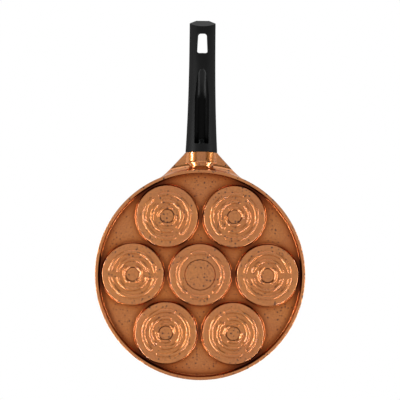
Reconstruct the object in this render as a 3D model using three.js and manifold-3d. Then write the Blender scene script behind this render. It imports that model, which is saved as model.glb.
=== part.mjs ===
// A pancake pan: a cast body with seven round moulds, and a moulded handle held on by one screw.
// Millimetres, +Z up, cooking side up, handle towards +Y.
// The origin is on the standing plane, in the middle of the overall length and width.
import * as THREE from "three";
import { mergeVertices } from "three/addons/utils/BufferGeometryUtils.js";
import Module from "manifold-3d";

const wasm = await Module();
wasm.setup();

// Moulds: one in the middle and a ring of outer ones.
const OUTER_MOULDS = 6;
const MOULD_FACE_RADIUS = 37.9; // flat foot of a mould, seen from below
const MOULD_DRAFT = 2.4; // how much wider the mould is where it meets the plate
const MOULD_DEPTH = 6.5; // how far the foot stands below the plate
const MOULD_GAP = 2.8; // between two neighbouring moulds at the plate
const FLOOR_THICKNESS = 2.6; // metal under a mould's cooking floor
const SIDE_THICKNESS = 2.7; // metal in a mould's side wall, measured level
const PLATE_THICKNESS = 3.0; // metal between the moulds

// Broken rings under each mould, from the middle outwards.
const RIDGE_HEIGHT = 1.0;
const RIDGE_SLOPE = 1.5; // level width of a ridge's flank
const RIDGE_ROOT = 0.4; // how deep a ridge's straight root is sunk in the floor
const RING_RADII = [10.8, 18.5, 27.7]; // middle of each ridge
const RING_WIDTHS = [4.1, 5.0, 5.3];
const RING_GAPS = [7.4, 4.4, 4.4]; // clear distance between a ring's arcs, along the ring
const GROOVE_DEPTH = 0.6; // the rings' shallow prints in the cooking floor

// Perimeter: a skirt below the plate and a wall above it.
const SKIRT_CLEARANCE = 0.4; // between an outer mould and the foot of the skirt
const SKIRT_DRAFT = 2.2; // how far the skirt's inner face leans out
const SKIRT_EDGE = 3.2; // flat lower edge of the skirt
const SKIRT_ROUND = 0.5; // eased outer corner of that edge
const RIM_HEIGHT = 28; // top of the wall above the standing plane
const WALL_FLARE = 1.0; // how much wider the wall is at its top
const RIM_WIDTH = 3.0;
const RIM_ROUND = 0.8;
const WALL_FILLET = 2.0; // where the wall meets the plate

// Neck: a flared bridge with a boss that the handle seats on.
const NECK_LENGTH = 21.7; // from the skirt's outer edge to the handle's seat
const NECK_END_WIDTH = 42;
const NECK_SPREAD = 97; // width of the bridge where it leaves the wall
const NECK_STRAIGHT = 1.5; // parallel stretch behind the seat
const NECK_SETBACK = 0.6; // how far the bridge stays behind the boss's seat
const NECK_UNDERSIDE = 15; // height of the bridge's lower face
const NECK_COVE = 10; // radius of the hollow rounding between that face and the wall
const NECK_WALL_TOP = 22; // height of the bridge's upper face at the wall
const BOSS_LENGTH = 13.9;
const RIB_WIDTH = 27.8; // the rib that carries the boss's form on to the wall
const RIB_CROWN = 7.6; // depth of the rib's rounded underside
const SPIGOT_WIDTH = 20; // tongue that keeps the handle from turning
const SPIGOT_HEIGHT = 9.5;
const SPIGOT_LENGTH = 5;

// Handle, in its own frame: Y runs along it from the seat, Z is up at no rise.
const HANDLE_RISE = THREE.MathUtils.degToRad(6);
const HANDLE_SEAT_HEIGHT = 17.16; // middle of the seat above the standing plane
const HANDLE_LENGTH = 160.9; // along the underside's middle
const HANDLE_SEAT_WIDTH = 39.9;
const HANDLE_END_WIDTH = 33.1;
const HANDLE_WAIST = 2.6; // how much faster the width falls near the seat
const HANDLE_SEAT_CROWN = 9.5; // depth of the rounded underside at the seat
const HANDLE_END_CROWN = 8;
const HANDLE_SEAT_BACK = 10; // height of the bevelled upper side at the seat
const HANDLE_END_BACK = 8.5;
const HANDLE_SIDE = 1.2; // upright strip between underside and upper side
const HANDLE_TOP_FLAT = 20; // flat strip along the top at the seat
const HANDLE_END_SLANT = THREE.MathUtils.degToRad(37); // the far face looks down by this much
const HOLE_FROM = 126.1; // hanging hole, near edge from the seat
const HOLE_LENGTH = 27.5;
const HOLE_NEAR_WIDTH = 13.6;
const HOLE_FAR_WIDTH = 10.6;
const HOLE_CORNER = 3.2;
const CHANNEL_TIP = 106; // far end of the screw channel, from the seat
const CHANNEL_TIP_WIDTH = 11.5;
const CHANNEL_WIDTH = 18;
const CHANNEL_CORNER = 2.5;
const CHANNEL_RAMP = 36; // length of the scoop that leads into the channel
const SCREW_WALL = 10.5; // solid end of the handle that the screw pulls on

// Screw and washers.
const SCREW_DIAMETER = 6;
const SCREW_GRIP = 12; // length in the boss
const SCREW_HEAD_DIAMETER = 11;
const SCREW_HEAD_HEIGHT = 4;
const SCREW_SLOT_WIDTH = 1.5;
const SCREW_SLOT_DEPTH = 1.8;
const WASHER_DIAMETER = 12.4;
const WASHER_THICKNESS = 1.4;
const SPRING_DIAMETER = 10.6;
const SPRING_THICKNESS = 1.6;
const SPRING_SLIT = 1.2;

// Clearances.
const FIT = 0.3; // between pieces that touch
const SCREW_CLEARANCE = 0.4; // round the screw
const BLIND_END = 2; // hole left beyond the screw's tip

// Facets of the round forms.
const BODY_FACETS = 72;
const MOULD_FACETS = 36;
const ARC_FACETS = 6;
const RIDGE_FACETS = 4;
const SCREW_FACETS = 20;
const HANDLE_STEPS = 10;
const COVE_FACETS = 5;

// Levels and radii that follow.
const footZ = RIDGE_HEIGHT;
const plateUnderZ = footZ + MOULD_DEPTH;
const plateTopZ = plateUnderZ + PLATE_THICKNESS;
const floorZ = footZ + FLOOR_THICKNESS;
const mouldRootRadius = MOULD_FACE_RADIUS + MOULD_DRAFT;
const pitchRadius = (2 * mouldRootRadius + MOULD_GAP) / (2 * Math.sin(Math.PI / OUTER_MOULDS));
const skirtFootRadius = pitchRadius + mouldRootRadius + SKIRT_CLEARANCE;
const skirtInnerRadius = skirtFootRadius + SKIRT_DRAFT;
const bodyRadius = skirtInnerRadius + SKIRT_EDGE + SKIRT_ROUND;
const rimRadius = bodyRadius + WALL_FLARE;
const wallMiddleRadius = (skirtInnerRadius + bodyRadius) / 2;
const seatY = bodyRadius + NECK_LENGTH;
const holeRadius = SCREW_DIAMETER / 2 + SCREW_CLEARANCE;
const outerAzimuths = Array.from({ length: OUTER_MOULDS }, (_, i) => (2 * Math.PI * i) / OUTER_MOULDS);
const handleMatrix = new THREE.Matrix4()
  .makeRotationX(HANDLE_RISE)
  .setPosition(0, seatY, HANDLE_SEAT_HEIGHT);

// Solids: closed three.js geometry, joined and cut.

function solidOf(geometry) {
  const bare = geometry.index ? geometry.toNonIndexed() : geometry.clone();
  bare.deleteAttribute("normal");
  bare.deleteAttribute("uv");
  const merged = mergeVertices(bare, 1e-4);
  return new wasm.Manifold(
    new wasm.Mesh({
      numProp: 3,
      vertProperties: merged.attributes.position.array,
      triVerts: new Uint32Array(merged.index.array),
    }),
  );
}

function geometryOf(solid) {
  const mesh = solid.getMesh();
  const geometry = new THREE.BufferGeometry();
  geometry.setAttribute("position", new THREE.BufferAttribute(mesh.vertProperties, 3));
  geometry.setIndex(new THREE.BufferAttribute(mesh.triVerts, 1));
  return geometry;
}

// A solid of revolution about +Z from [radius, height] pairs.
function turned(profile, facets) {
  const points = profile.map(([radius, height]) => new THREE.Vector2(radius, height));
  return new THREE.LatheGeometry(points, facets).rotateX(Math.PI / 2);
}

// A round bar along +Y.
function bar(radius, fromY, toY) {
  const length = toY - fromY;
  return new THREE.CylinderGeometry(radius, radius, length, SCREW_FACETS).translate(0, fromY + length / 2, 0);
}

// A plan outline raised from one level to another.
function raised(shape, fromZ, toZ) {
  const settings = { depth: toZ - fromZ, bevelEnabled: false, curveSegments: ARC_FACETS };
  return new THREE.ExtrudeGeometry(shape, settings).translate(0, 0, fromZ);
}

// A side outline, drawn as (Y, Z), drawn out along X to both sides.
function sideways(shape, width) {
  const settings = { depth: width, bevelEnabled: false, curveSegments: ARC_FACETS };
  const turn = new THREE.Matrix4().makeBasis(
    new THREE.Vector3(0, 1, 0),
    new THREE.Vector3(0, 0, 1),
    new THREE.Vector3(1, 0, 0),
  );
  return new THREE.ExtrudeGeometry(shape, settings).applyMatrix4(turn).translate(-width / 2, 0, 0);
}

// A cross-section, drawn as (X, Z) and even about X, drawn out along +Y.
function lengthways(shape, fromY, toY, steps = 1) {
  const settings = { depth: toY - fromY, bevelEnabled: false, curveSegments: ARC_FACETS, steps };
  const turn = new THREE.Matrix4().makeBasis(
    new THREE.Vector3(-1, 0, 0),
    new THREE.Vector3(0, 0, 1),
    new THREE.Vector3(0, 1, 0),
  );
  return new THREE.ExtrudeGeometry(shape, settings).applyMatrix4(turn).translate(0, fromY, 0);
}

// A polygon with its corners eased.
function easedShape(corners, radius) {
  const shape = new THREE.Shape();
  corners.forEach(([x, y], i) => {
    const corner = new THREE.Vector2(x, y);
    const before = new THREE.Vector2(...corners[(i + corners.length - 1) % corners.length]);
    const after = new THREE.Vector2(...corners[(i + 1) % corners.length]);
    const start = corner.clone().add(before.sub(corner).setLength(radius));
    const end = corner.clone().add(after.sub(corner).setLength(radius));
    if (i === 0) shape.moveTo(start.x, start.y);
    else shape.lineTo(start.x, start.y);
    shape.quadraticCurveTo(corner.x, corner.y, end.x, end.y);
  });
  return shape;
}

function polygon(corners) {
  return new THREE.Shape(corners.map(([x, y]) => new THREE.Vector2(x, y)));
}

function boxAlongY(width, height, fromY, toY) {
  const length = toY - fromY;
  return new THREE.BoxGeometry(width, length, height).translate(0, fromY + length / 2, 0);
}

// Body.

// Plate, skirt and wall in one turning.
function shellProfile() {
  const wallFootRadius = skirtFootRadius + WALL_FILLET / 4;
  return [
    [0, plateUnderZ],
    [skirtFootRadius, plateUnderZ],
    [skirtInnerRadius, 0],
    [skirtInnerRadius + SKIRT_EDGE, 0],
    [bodyRadius, SKIRT_ROUND],
    [rimRadius, RIM_HEIGHT - RIM_ROUND],
    [rimRadius - RIM_ROUND, RIM_HEIGHT],
    [rimRadius - RIM_WIDTH + RIM_ROUND, RIM_HEIGHT],
    [rimRadius - RIM_WIDTH, RIM_HEIGHT - RIM_ROUND],
    [wallFootRadius + WALL_FILLET / 4, plateTopZ + WALL_FILLET],
    [wallFootRadius - WALL_FILLET, plateTopZ],
    [0, plateTopZ],
  ];
}

// The outside of a mould, from inside the plate down to its foot.
function mouldOutside() {
  return turned(
    [
      [0, footZ],
      [MOULD_FACE_RADIUS, footZ],
      [mouldRootRadius, plateUnderZ],
      [mouldRootRadius, plateUnderZ + PLATE_THICKNESS / 2],
      [0, plateUnderZ + PLATE_THICKNESS / 2],
    ],
    MOULD_FACETS,
  );
}

// The hollow of a mould, with the same draft as its outside.
function mouldHollow() {
  const lean = MOULD_DRAFT / MOULD_DEPTH;
  const radiusAt = (z) => MOULD_FACE_RADIUS + lean * (z - footZ) - SIDE_THICKNESS;
  const above = plateTopZ + PLATE_THICKNESS;
  return turned(
    [
      [0, floorZ],
      [radiusAt(floorZ), floorZ],
      [radiusAt(plateTopZ), plateTopZ],
      [radiusAt(plateTopZ), above],
      [0, above],
    ],
    MOULD_FACETS,
  );
}

// One arc of a broken ring: flat on both faces, with sloping flanks and ends.
function ridgeArc(ring, fromAngle, toAngle, height) {
  const middle = RING_RADII[ring];
  const half = RING_WIDTHS[ring] / 2 - RIDGE_SLOPE;
  const shape = new THREE.Shape();
  shape.absarc(0, 0, middle + half, fromAngle, toAngle, false);
  shape.absarc(0, 0, middle - half, toAngle, fromAngle, true);
  return new THREE.ExtrudeGeometry(shape, {
    depth: RIDGE_ROOT,
    bevelThickness: height,
    bevelSize: RIDGE_SLOPE,
    bevelSegments: 1,
    curveSegments: RIDGE_FACETS,
  }).translate(0, 0, height);
}

// The arcs of one ring, broken at the given angles.
function brokenRing(ring, breaks, height) {
  const halfGap = (RING_GAPS[ring] / 2 + RIDGE_SLOPE) / RING_RADII[ring];
  return breaks.map((angle, i) => {
    const next = i + 1 < breaks.length ? breaks[i + 1] : breaks[0] + 2 * Math.PI;
    return ridgeArc(ring, angle + halfGap, next - halfGap, height);
  });
}

// Outer moulds: the two larger rings break on the line to the pan's middle, the small one across it.
function outerRings(azimuth, height) {
  const across = azimuth + Math.PI / 2;
  return [
    ...brokenRing(0, [across, across + Math.PI], height),
    ...brokenRing(1, [azimuth, azimuth + Math.PI], height),
    ...brokenRing(2, [azimuth, azimuth + Math.PI], height),
  ];
}

// Middle mould: only the largest ring, broken beside the four outer moulds nearest the handle's line.
function middleRings(height) {
  const breaks = [60, 120, 240, 300].map((degrees) => THREE.MathUtils.degToRad(degrees));
  return brokenRing(2, breaks, height);
}

function neckPlan() {
  const end = NECK_END_WIDTH / 2;
  const spread = NECK_SPREAD / 2;
  const wallY = Math.sqrt(bodyRadius ** 2 - spread ** 2);
  const insideY = Math.sqrt(skirtInnerRadius ** 2 - spread ** 2);
  return polygon([
    [-spread, insideY],
    [spread, insideY],
    [spread, wallY],
    [end, seatY - NECK_STRAIGHT],
    [end, seatY + NECK_STRAIGHT],
    [-end, seatY + NECK_STRAIGHT],
    [-end, seatY - NECK_STRAIGHT],
    [-spread, wallY],
  ]);
}

function neckSide() {
  const seatTop = HANDLE_SEAT_HEIGHT + HANDLE_SEAT_BACK - FIT;
  const endAt = (z) => seatY - NECK_SETBACK - Math.tan(HANDLE_RISE) * (z - HANDLE_SEAT_HEIGHT);
  return polygon([
    [0, NECK_UNDERSIDE],
    [endAt(NECK_UNDERSIDE), NECK_UNDERSIDE],
    [endAt(seatTop), seatTop],
    [bodyRadius, NECK_WALL_TOP],
    [0, NECK_WALL_TOP],
  ]);
}

// A round block on the pan's axis.
function drum(radius, fromZ, toZ) {
  const profile = [
    [0, fromZ],
    [radius, fromZ],
    [radius, toZ],
    [0, toZ],
  ];
  return turned(profile, BODY_FACETS);
}

// The rounded root of the bridge, from the wall out to its lower face.
function neckRoot() {
  const cove = Array.from({ length: COVE_FACETS + 1 }, (_, i) => {
    const angle = (Math.PI / 2) * (i / COVE_FACETS);
    const radius = bodyRadius + NECK_COVE * (1 - Math.cos(angle));
    return [radius, NECK_UNDERSIDE - NECK_COVE * (1 - Math.sin(angle))];
  });
  const top = (NECK_UNDERSIDE + NECK_WALL_TOP) / 2;
  const foot = NECK_UNDERSIDE - NECK_COVE;
  return turned([[0, foot], ...cove, [bodyRadius + NECK_COVE, top], [0, top]], BODY_FACETS);
}

// The rib under the bridge: the handle's section, narrower and less deep.
function ribBlock() {
  return lengthways(handleSection(), wallMiddleRadius - SKIRT_EDGE - seatY, -BOSS_LENGTH / 2)
    .scale(RIB_WIDTH / HANDLE_SEAT_WIDTH, 1, RIB_CROWN / HANDLE_SEAT_CROWN)
    .applyMatrix4(handleMatrix);
}

// The bridge with its root and rib, cut off in the middle of the wall.
function neckSolid() {
  const plan = solidOf(raised(neckPlan(), 0, RIM_HEIGHT));
  return plan
    .intersect(solidOf(sideways(neckSide(), NECK_SPREAD)))
    .add(plan.intersect(solidOf(neckRoot())))
    .add(solidOf(ribBlock()))
    .subtract(solidOf(drum(wallMiddleRadius, 0, RIM_HEIGHT)));
}

function panBody() {
  let body = solidOf(turned(shellProfile(), BODY_FACETS));
  const outerPlaces = outerAzimuths.map((a) => [pitchRadius * Math.cos(a), pitchRadius * Math.sin(a)]);
  const places = [[0, 0], ...outerPlaces];
  for (const [x, y] of places) body = body.add(solidOf(mouldOutside().translate(x, y, 0)));
  for (const [x, y] of places) body = body.subtract(solidOf(mouldHollow().translate(x, y, 0)));
  places.forEach(([x, y], i) => {
    const rings = (height) => (i === 0 ? middleRings(height) : outerRings(outerAzimuths[i - 1], height));
    const grooveZ = floorZ - GROOVE_DEPTH;
    for (const ridge of rings(RIDGE_HEIGHT)) body = body.add(solidOf(ridge.translate(x, y, 0)));
    for (const groove of rings(GROOVE_DEPTH)) body = body.subtract(solidOf(groove.translate(x, y, grooveZ)));
  });
  const boss = lengthways(handleSection(), -BOSS_LENGTH, 0);
  const spigot = boxAlongY(SPIGOT_WIDTH, SPIGOT_HEIGHT, -BOSS_LENGTH / 2, SPIGOT_LENGTH);
  const bore = bar(holeRadius, -SCREW_GRIP - BLIND_END, SPIGOT_LENGTH + FIT);
  return body
    .add(neckSolid())
    .add(solidOf(boss.applyMatrix4(handleMatrix)))
    .add(solidOf(spigot.applyMatrix4(handleMatrix)))
    .subtract(solidOf(bore.applyMatrix4(handleMatrix)));
}

// Handle.

// The section at the seat: rounded below, bevelled to a flat strip above.
function handleSection() {
  const half = HANDLE_SEAT_WIDTH / 2;
  const side = HANDLE_SIDE / 2;
  const sag = HANDLE_SEAT_CROWN - side;
  const radius = (half ** 2 + sag ** 2) / (2 * sag);
  const spread = Math.asin(half / radius);
  const down = -Math.PI / 2;
  const shape = new THREE.Shape();
  shape.moveTo(-half, side);
  shape.absarc(0, radius - HANDLE_SEAT_CROWN, radius, down - spread, down + spread, false);
  shape.lineTo(half, side);
  shape.lineTo(HANDLE_TOP_FLAT / 2, HANDLE_SEAT_BACK);
  shape.lineTo(-HANDLE_TOP_FLAT / 2, HANDLE_SEAT_BACK);
  return shape;
}

// The section narrows fast behind the seat and then more gently; the depth falls evenly.
function taper(y) {
  const left = 1 - y / HANDLE_LENGTH;
  const narrowing = HANDLE_SEAT_WIDTH - HANDLE_END_WIDTH;
  const width = HANDLE_END_WIDTH + narrowing * Math.max(left, 0) ** HANDLE_WAIST;
  const crown = HANDLE_END_CROWN + (HANDLE_SEAT_CROWN - HANDLE_END_CROWN) * left;
  const back = HANDLE_END_BACK + (HANDLE_SEAT_BACK - HANDLE_END_BACK) * left;
  return {
    width: width / HANDLE_SEAT_WIDTH,
    crown: crown / HANDLE_SEAT_CROWN,
    back: back / HANDLE_SEAT_BACK,
  };
}

function handleBlank(toY) {
  const blank = lengthways(handleSection(), FIT, toY, HANDLE_STEPS);
  const position = blank.getAttribute("position");
  for (let i = 0; i < position.count; i++) {
    const scale = taper(position.getY(i));
    const z = position.getZ(i);
    position.setX(i, position.getX(i) * scale.width);
    position.setZ(i, z * (z < 0 ? scale.crown : scale.back));
  }
  return blank;
}

function hangingHole() {
  const far = HOLE_FROM + HOLE_LENGTH;
  const outline = easedShape(
    [
      [-HOLE_NEAR_WIDTH / 2, HOLE_FROM],
      [HOLE_NEAR_WIDTH / 2, HOLE_FROM],
      [HOLE_FAR_WIDTH / 2, far],
      [-HOLE_FAR_WIDTH / 2, far],
    ],
    HOLE_CORNER,
  );
  return raised(outline, -2 * HANDLE_SEAT_CROWN, 2 * HANDLE_SEAT_BACK);
}

// The screw channel: an arched scoop that leads down to a deep slot, open below.
function screwChannel() {
  const half = CHANNEL_WIDTH / 2;
  const tipHalf = CHANNEL_TIP_WIDTH / 2;
  const plan = new THREE.Shape();
  plan.moveTo(-half + CHANNEL_CORNER, SCREW_WALL);
  plan.lineTo(half - CHANNEL_CORNER, SCREW_WALL);
  plan.quadraticCurveTo(half, SCREW_WALL, half, SCREW_WALL + CHANNEL_CORNER);
  plan.lineTo(half, CHANNEL_TIP - CHANNEL_RAMP);
  plan.lineTo(tipHalf, CHANNEL_TIP - tipHalf);
  plan.absarc(0, CHANNEL_TIP - tipHalf, tipHalf, 0, Math.PI, false);
  plan.lineTo(-half, CHANNEL_TIP - CHANNEL_RAMP);
  plan.lineTo(-half, SCREW_WALL + CHANNEL_CORNER);
  plan.quadraticCurveTo(-half, SCREW_WALL, -half + CHANNEL_CORNER, SCREW_WALL);
  const below = -2 * HANDLE_SEAT_CROWN;
  const roof = WASHER_DIAMETER / 2 + SCREW_CLEARANCE;
  const side = polygon([
    [0, below],
    [CHANNEL_TIP, below],
    [CHANNEL_TIP, -HANDLE_END_CROWN],
    [CHANNEL_TIP - CHANNEL_RAMP, roof],
    [0, roof],
  ]);
  const depth = 2 * HANDLE_SEAT_CROWN + 2 * HANDLE_SEAT_BACK;
  return solidOf(raised(plan, below, below + depth)).intersect(solidOf(sideways(side, CHANNEL_WIDTH)));
}

// Everything beyond the slanted far face.
function beyondEnd() {
  const size = 4 * HANDLE_SEAT_WIDTH;
  const block = new THREE.BoxGeometry(size, size, size).translate(0, size / 2, 0);
  return block.rotateX(-HANDLE_END_SLANT).translate(0, HANDLE_LENGTH, -HANDLE_END_CROWN);
}

function handle() {
  const overrun = (HANDLE_SEAT_CROWN + HANDLE_SEAT_BACK) * Math.tan(HANDLE_END_SLANT);
  const pocketWidth = SPIGOT_WIDTH + 2 * FIT;
  const pocketHeight = SPIGOT_HEIGHT + 2 * FIT;
  return solidOf(handleBlank(HANDLE_LENGTH + overrun))
    .subtract(solidOf(beyondEnd()))
    .subtract(solidOf(hangingHole()))
    .subtract(screwChannel())
    .subtract(solidOf(boxAlongY(pocketWidth, pocketHeight, -SPIGOT_LENGTH, SPIGOT_LENGTH + FIT)))
    .subtract(solidOf(bar(holeRadius, 0, SCREW_WALL + FIT)));
}

// Fasteners, stacked from the channel's end wall towards the handle's far end.

const washerY = SCREW_WALL + FIT;
const springY = washerY + WASHER_THICKNESS + FIT;
const headY = springY + SPRING_THICKNESS + FIT;

function handleScrew() {
  const headRadius = SCREW_HEAD_DIAMETER / 2;
  const top = headY + SCREW_HEAD_HEIGHT;
  const slot = boxAlongY(SCREW_SLOT_WIDTH, headRadius, top - SCREW_SLOT_DEPTH, top + SCREW_SLOT_DEPTH);
  return solidOf(bar(SCREW_DIAMETER / 2, -SCREW_GRIP, headY + SCREW_HEAD_HEIGHT / 2))
    .add(solidOf(bar(headRadius, headY, top)))
    .subtract(solidOf(slot))
    .subtract(solidOf(slot.clone().rotateY(Math.PI / 2)));
}

function flatWasher() {
  return solidOf(bar(WASHER_DIAMETER / 2, washerY, washerY + WASHER_THICKNESS)).subtract(
    solidOf(bar(holeRadius, washerY - FIT, washerY + WASHER_THICKNESS + FIT)),
  );
}

function springWasher() {
  const slit = boxAlongY(SPRING_SLIT, SPRING_DIAMETER, springY - FIT, springY + SPRING_THICKNESS + FIT);
  return solidOf(bar(SPRING_DIAMETER / 2, springY, springY + SPRING_THICKNESS))
    .subtract(solidOf(bar(holeRadius, springY - FIT, springY + SPRING_THICKNESS + FIT)))
    .subtract(solidOf(slit.translate(0, 0, SPRING_DIAMETER / 2)));
}

// Assembly.

function piece(name, solid, colour, roughness, metalness) {
  const material = new THREE.MeshStandardMaterial({ color: colour, roughness, metalness });
  const mesh = new THREE.Mesh(geometryOf(solid), material);
  mesh.name = name;
  return mesh;
}

const handleGroup = new THREE.Group();
handleGroup.position.set(0, seatY, HANDLE_SEAT_HEIGHT);
handleGroup.rotation.x = HANDLE_RISE;
handleGroup.add(
  piece("handle", handle(), 0x191919, 0.5, 0),
  piece("handle_screw", handleScrew(), 0xb4b4b0, 0.35, 1),
  piece("flat_washer", flatWasher(), 0xb8b8b4, 0.4, 1),
  piece("spring_washer", springWasher(), 0x8c8c88, 0.4, 1),
);

const pan = new THREE.Group();
pan.add(piece("pan_body", panBody(), 0xb06f42, 0.42, 0.35), handleGroup);

// The origin sits under the middle of the overall footprint.
const reach = new THREE.Box3().setFromObject(pan, true);
pan.children.forEach((child) => (child.position.y -= (reach.min.y + reach.max.y) / 2));

export default pan;
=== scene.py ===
"""Pancake pan: finished pieces, materials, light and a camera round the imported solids.

The pan stands on its ringed pads with the cooking side up and the handle towards +Y.
The photograph's camera looks straight up at the underside, with the handle at the top of the picture.
"""

from math import asin, cos, hypot, pi, radians, sin, sqrt, tan

import bmesh
import bpy
from bpy.props import FloatProperty, PointerProperty, StringProperty
from mathutils import Matrix, Vector


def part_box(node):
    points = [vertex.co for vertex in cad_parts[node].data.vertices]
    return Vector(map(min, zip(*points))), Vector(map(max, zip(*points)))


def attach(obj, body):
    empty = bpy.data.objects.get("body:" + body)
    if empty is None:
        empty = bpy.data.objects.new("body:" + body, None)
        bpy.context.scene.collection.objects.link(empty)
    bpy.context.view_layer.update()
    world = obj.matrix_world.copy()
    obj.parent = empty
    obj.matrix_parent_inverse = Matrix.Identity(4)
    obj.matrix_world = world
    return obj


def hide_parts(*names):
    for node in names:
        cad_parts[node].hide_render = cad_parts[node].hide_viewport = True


bl_info = {
    "name": "Pancake Pan",
    "version": (1, 0, 0),
    "blender": (4, 5, 0),
    "location": "View3D > Sidebar > Pan",
    "description": "Builds a cast pancake pan with its handle, screw and studio",
    "category": "Add Mesh",
}

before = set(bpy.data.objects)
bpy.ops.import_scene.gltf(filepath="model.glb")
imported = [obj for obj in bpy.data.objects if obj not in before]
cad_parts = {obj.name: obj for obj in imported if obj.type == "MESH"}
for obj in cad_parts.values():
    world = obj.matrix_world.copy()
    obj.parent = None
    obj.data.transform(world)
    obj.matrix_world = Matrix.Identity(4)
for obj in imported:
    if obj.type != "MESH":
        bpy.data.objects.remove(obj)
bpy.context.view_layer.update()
BODY_LOW, BODY_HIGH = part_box("pan_body")

MM = 0.001
TURN = 2 * pi
BODY = "root"
RIM_RADIUS = BODY_HIGH.x
PAN_Y = BODY_LOW.y + RIM_RADIUS
MERGE = 1e-6  # vertices closer than this are one
ON_RING = 1e-5  # how far a vertex may lie from the ring that is looked for
UPRIGHT = 1 * MM  # an edge that climbs more than this is upright
ALONG_HANDLE = Matrix.Rotation(-pi / 2, 4, "X")  # turns a shape about Z to one about Y

# Body, beyond the sizes in the sidebar.
OUTER_AZIMUTHS = [radians(degrees) for degrees in range(0, 360, 60)]
MIDDLE_BREAKS = [radians(degrees) for degrees in (60, 120, 240, 300)]
BODY_FACETS = 240
MOULD_FACETS = 128
SKIRT_CLEAR = 0.4 * MM  # between an outer mould and the skirt, at the plate
SKIRT_LEAN = 2.2 * MM  # how much wider the skirt's inside is at its lower edge
SKIRT_REACH = 5.9 * MM  # from the skirt's inside at the plate to the body's edge
WALL_STEP = 0.8 * MM  # from the skirt's inside to the wall's inside, at the plate
RIM_WIDTH = 3 * MM
FOOT_ROUND = 1.5 * MM  # rounding where a mould or the skirt meets the plate
FOOT_LIFT = 0.02 * MM  # hides the edge of a mould's foot inside the plate
SKIRT_INNER_EDGE = 0.35 * MM
SKIRT_OUTER_EDGE = 0.6 * MM
RIM_EDGE = 0.9 * MM
WALL_FILLET = 2.2 * MM  # inside, where the wall meets the plate
FACE_EDGE = 0.7 * MM  # round a mould's flat foot
FLOOR_FILLET = 1.2 * MM  # inside a mould, round its floor
MOUTH_WIDTH = 0.8 * MM  # flare at a mould's mouth
MOUTH_HEIGHT = 0.25 * MM
MOUTH_EDGE = 0.6 * MM

# Rings under a mould, from the middle outwards: radius of the crest line, width, clear gap at a break.
RINGS = [
    (10.8 * MM, 4.1 * MM, 7.4 * MM),
    (18.5 * MM, 5.0 * MM, 4.4 * MM),
    (27.7 * MM, 5.3 * MM, 4.4 * MM),
]
RING_SLOPE = 1.6 * MM  # level width of a ring's flank
RING_ROOT = 0.3 * MM  # how deep a ring is sunk in its mould
FLANK_STEPS = 5
NOSE_STEPS = 8
RING_STEP = 1.1 * MM  # length of a facet along a ring
ARC_LEAST_STEPS = 4
# Scribed circle inside the rings: radius, half width, depth.
OUTER_LINE = (8.6 * MM, 0.6 * MM, 1.1 * MM)
MIDDLE_LINE = (18.8 * MM, 0.5 * MM, 0.5 * MM)

# Neck and boss.
NECK_UNDER = 15 * MM
NECK_STRAIGHT = 1.5 * MM  # parallel stretch at the seat
NECK_TAIL = 18 * MM  # how far the flare's root runs on inside the wall
NECK_FILLET = 10 * MM  # where the flare leaves the wall
NECK_COVE = 10 * MM  # radius of the hollow rounding between the plate and the wall
COVE_STEPS = 10
NECK_WALL_TOP = 22 * MM
NECK_SINK = 0.8 * MM  # how far the flare's root lies inside the wall
NECK_HEEL = 4 * MM  # how far the flare's outline runs on towards the pan
NECK_SHORT = 0.6 * MM  # how far the plate stops short of the seat
NECK_LAP = 1 * MM  # how far the root reaches into the plate
CLEAR_TOP = 30 * MM  # height, above the rim, up to which the neck is cut out of the pan's inside
CAST_EDGE = 0.5 * MM
BOSS_LENGTH = 13.9 * MM
BOSS_LIP = 1.7 * MM  # length of the raised lip at the boss's pan end
BOSS_LIP_FALL = 0.8 * MM  # length of the slope behind the lip
BOSS_SHARES = (0.985, 0.94, 1)  # width, crown and back between the lip and the handle
RIB_WIDTH = 30.7 * MM
RIB_CROWN = 6.7 * MM
RIB_ROUND = 8.4 * MM  # length of the rib's rounded end
RIB_END = 0.3  # width left where the rib meets the wall, as a share
RIB_STEPS = 10
RIB_BACK = 0.6  # keeps the rib under the neck's upper side
SPIGOT_WIDTH = 20 * MM
SPIGOT_HEIGHT = 9.5 * MM
SPIGOT_LENGTH = 5 * MM
BORE = 3.4 * MM
BORE_FACETS = 32
BODY_BORE = (-14 * MM, 6 * MM)  # along the handle from its seat
HANDLE_BORE = (0, 12 * MM)

# Handle.
FIT = 0.3 * MM
HANDLE_SEAT_CROWN = 9.5 * MM
HANDLE_END_CROWN = 8 * MM
HANDLE_SEAT_BACK = 10 * MM
HANDLE_END_BACK = 8.5 * MM
HANDLE_SIDE = 1.2 * MM
HANDLE_TOP_FLAT = 20 * MM
HANDLE_WAIST = 2.6  # how much faster the width falls near the seat
HANDLE_SLANT = radians(37)
HANDLE_STEPS = 28
HANDLE_EDGE = 0.5 * MM
CROWN_FACETS = 28
HOLE_FROM = 126.1 * MM
HOLE_LENGTH = 27.5 * MM
HOLE_NEAR_WIDTH = 13.6 * MM
HOLE_FAR_WIDTH = 10.6 * MM
HOLE_CORNER = 3.2 * MM
HOLE_SLANT = radians(18)  # how far the hole's far wall leans outwards
CHANNEL_FACETS = 48
CHANNEL_SQUARE = 0.7  # 1 gives an ellipse, less gives a squarer trough
CHANNEL_RAISE = 0.7 * MM  # height of the trough's middle above the crown
# Screw channel from its end wall to its tip: place along the handle, half width, depth.
CHANNEL_STATIONS = [
    (y * MM, a * MM, d * MM)
    for y, a, d in (
        (10.5, 7.4, 15.2),
        (11.0, 8.4, 15.2),
        (11.9, 9.0, 15.2),
        (70.0, 9.0, 15.2),
        (78.5, 8.0, 11.6),
        (88.5, 7.0, 7.6),
        (95.5, 6.4, 4.8),
        (100.5, 5.7, 2.9),
        (103.5, 4.5, 1.8),
        (105.5, 2.4, 1.0),
        (106.0, 1.0, 0.5),
    )
]

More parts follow.
